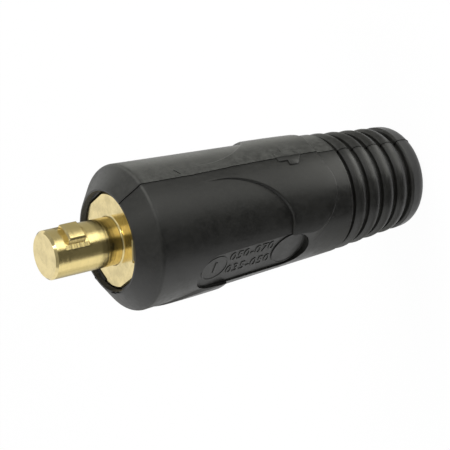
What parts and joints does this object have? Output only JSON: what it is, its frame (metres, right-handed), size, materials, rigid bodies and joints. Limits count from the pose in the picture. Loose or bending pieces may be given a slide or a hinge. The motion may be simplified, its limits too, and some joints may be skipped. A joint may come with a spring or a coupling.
{
  "type": "welding cable plug",
  "caption": "Bayonet welding cable plug: a brass pin contact with a cable clamp in a moulded rubber sleeve with grip recesses and a ribbed tail.",
  "frame": {"origin": "centre of the sleeve's flat tail face, on the plug's axis", "axes": "+Z along the plug's axis from the tail to the pin's tip; +X through the sleeve's parting line on the side of the rear land; the label pads face -Y and +Y"},
  "size_m": [0.0396, 0.0394, 0.1176],
  "materials": {
    "rubber": "satin",
    "brass": "turned, satin",
    "copper": "rolled copper, satin",
    "black_steel": "blackened"
  },
  "bodies": {
    "sleeve": {"sleeve": "rubber"},
    "contact": {"contact_body": "brass", "cable_ferrule": "copper"},
    "front_screw": {"set_screw_front": "black_steel"},
    "rear_screw": {"set_screw_rear": "black_steel"}
  },
  "joints": [
    {"name": "contact_slide", "type": "slide", "parent": "sleeve", "child": "contact", "axis": [0, 0, 1], "range_m": [0, 0.0597]},
    {"name": "front_screw_feed", "type": "slide", "parent": "contact", "child": "front_screw", "axis": [-1, 0, 0], "range_m": [0, 0.0007]},
    {"name": "rear_screw_feed", "type": "slide", "parent": "contact", "child": "rear_screw", "axis": [-1, 0, 0], "range_m": [0, 0.0007]}
  ]
}
